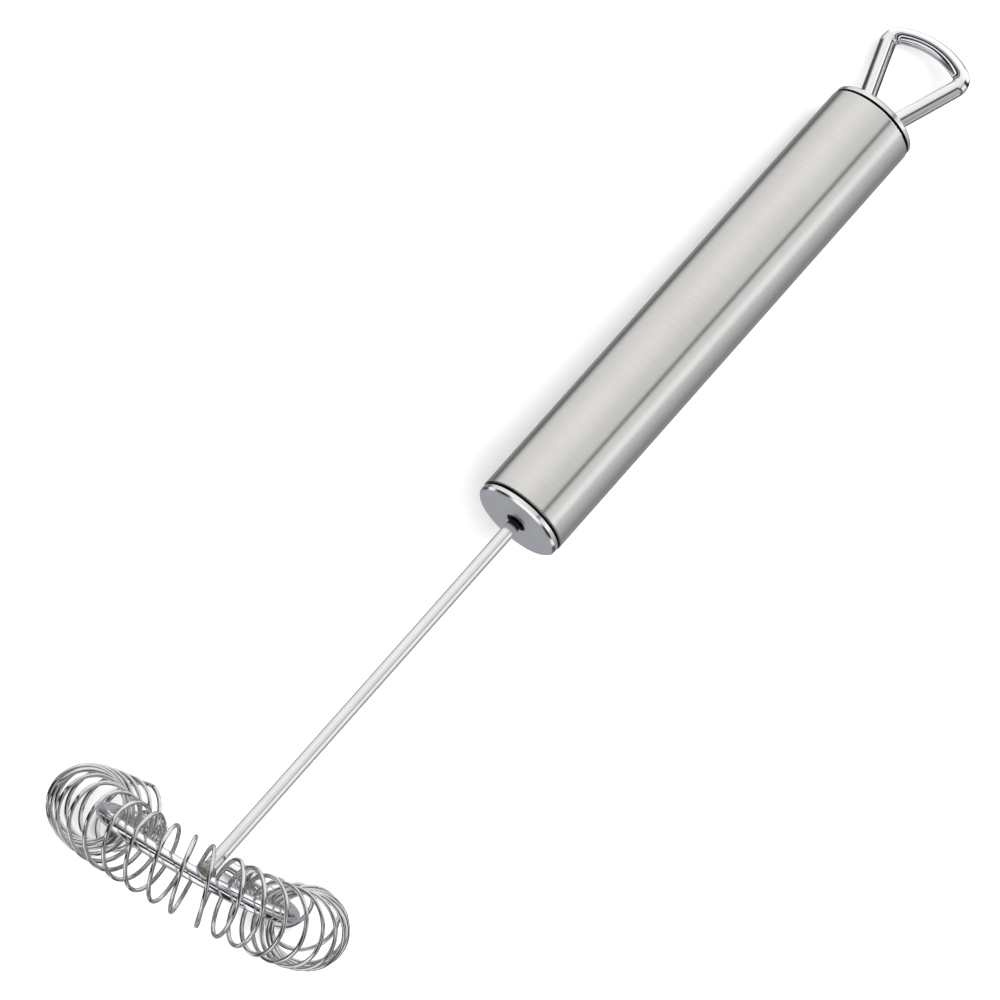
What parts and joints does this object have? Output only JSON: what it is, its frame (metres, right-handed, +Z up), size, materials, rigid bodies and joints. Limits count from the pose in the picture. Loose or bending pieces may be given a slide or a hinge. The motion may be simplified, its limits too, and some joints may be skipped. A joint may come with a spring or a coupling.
{
  "type": "spiral whisk",
  "caption": "Spiral whisk: round steel tube handle with a hanging loop, thin straight shaft and a C-shaped rod carrying one open coil of spring wire.",
  "frame": {"origin": "centre of the bounding box at table height, with the whisk lying at rest on its handle and on the two ends of its head", "axes": "+X along the handle towards the hanging loop (the handle falls about 9 degrees that way), +Z up"},
  "size_m": [0.2756, 0.0736, 0.0605],
  "materials": {
    "brushed_handle": "stainless steel, brushed round its girth",
    "polished_cap": "stainless steel, finely polished",
    "polished_rod": "stainless steel, mirror polished",
    "spring_wire": "bright drawn spring wire",
    "weld": "cleaned weld metal, slightly heat-tinted"
  },
  "bodies": {
    "root": {"handle_tube": "brushed_handle", "lower_end_cap": "polished_cap", "upper_end_cap": "polished_cap", "hanging_loop": "polished_rod", "loop_weld": "weld", "shaft": "polished_rod", "shaft_weld": "weld", "bow": "polished_rod", "bow_weld": "weld", "coil_taper_right": "spring_wire", "coil_taper_left": "spring_wire", "coil_grip_right": "spring_wire", "coil_grip_left": "spring_wire"},
    "coil": {"whisk_coil": "spring_wire"}
  },
  "joints": [
    {"name": "coil_bounce", "type": "slide", "parent": "root", "child": "coil", "axis": [0.9881, 0, -0.154], "range_m": [-0.0012, 0.0012], "stiffness_N_per_m": 250, "deforming": ["coil_taper_right", "coil_taper_left"]}
  ]
}
